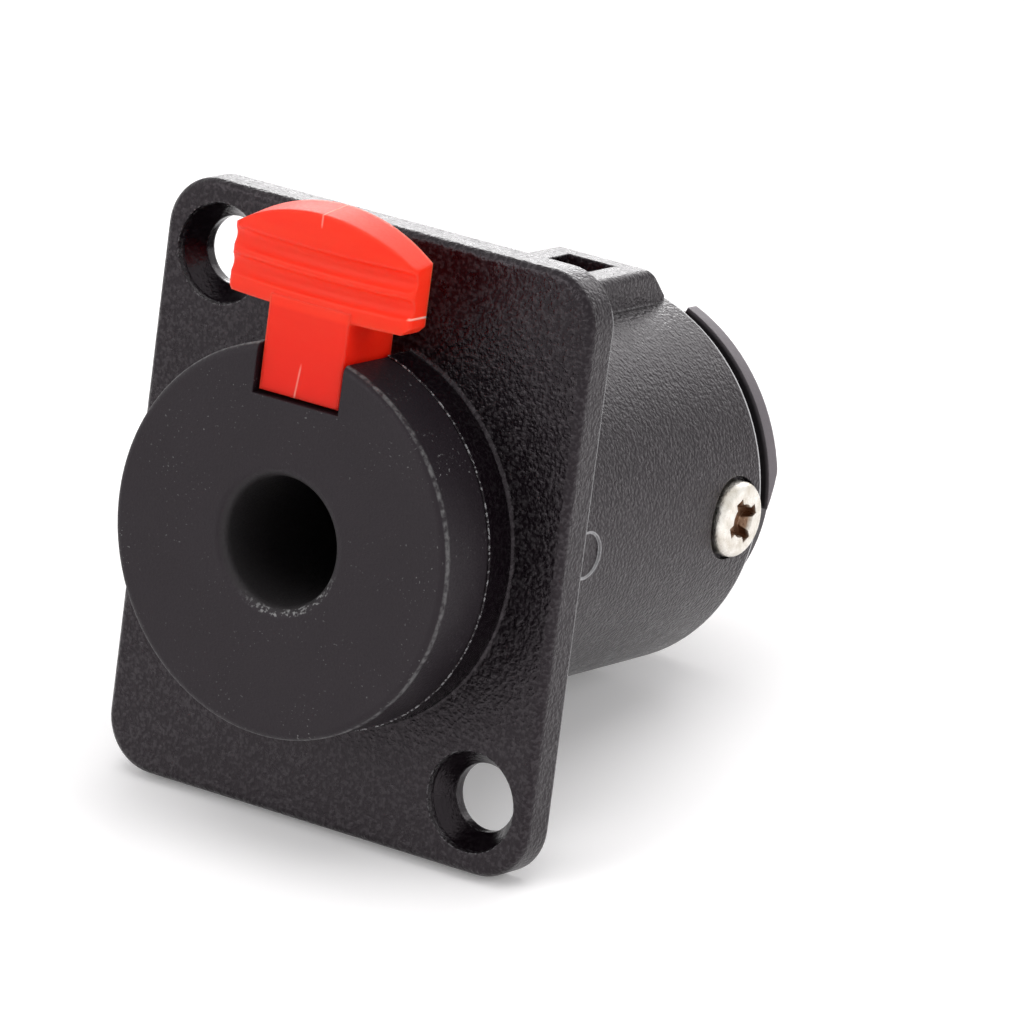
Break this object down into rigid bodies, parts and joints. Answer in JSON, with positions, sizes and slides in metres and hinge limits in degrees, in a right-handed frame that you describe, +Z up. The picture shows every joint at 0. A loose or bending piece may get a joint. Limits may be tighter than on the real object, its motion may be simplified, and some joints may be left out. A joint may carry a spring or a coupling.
{
  "type": "locking jack socket",
  "caption": "Panel-mount locking socket for a 6.35 mm jack plug: square flange, round nose with plug bore, barrel with solder lugs and a push-to-release button.",
  "frame": {"origin": "centre of the two mounting holes, on the jack axis, in the plane of the flange's rear face", "axes": "+Y along the jack axis towards the solder lugs, the way the plug goes in; +Z up towards the release button; +X to the right seen from the front"},
  "size_m": [0.026, 0.0364, 0.0328],
  "materials": {
    "shell_coat": "black pebbled powder coat",
    "nose_plastic": "fine spark-eroded charcoal moulding",
    "carrier_plastic": "plain dark grey moulding",
    "button_plastic": "smooth bright red moulding",
    "spring_steel": "bright drawn wire",
    "lever_steel": "plated stamping",
    "contact_plating": "silver-plated bronze strip",
    "screw_plating": "nickel plate, worn in the recess"
  },
  "bodies": {
    "housing": {"shell": "shell_coat", "nose_insert": "nose_plastic", "rear_carrier": "carrier_plastic", "return_spring": "spring_steel", "lock_pivot": "lever_steel", "lock_spring": "spring_steel", "tip_contact": "contact_plating", "ring_contact": "contact_plating", "sleeve_contact": "contact_plating", "side_screw": "screw_plating"},
    "button": {"release_button": "button_plastic"},
    "lock": {"lock_lever": "lever_steel"}
  },
  "joints": [
    {"name": "release_push", "type": "slide", "parent": "housing", "child": "button", "axis": [0, 1, 0], "range_m": [0, 0.0013], "stiffness_N_per_m": 1000, "springref_m": -0.002, "deforming": ["return_spring"]},
    {"name": "lock_lift", "type": "hinge", "parent": "housing", "child": "lock", "pos_m": [0, 0.015, 0.0056], "axis": [1, 0, 0], "range_deg": [0, 14], "deforming": ["lock_spring"]}
  ],
  "couplings": [
    {"joint": "lock_lift", "follows": "release_push", "rad_per_m": 187.95}
  ]
}
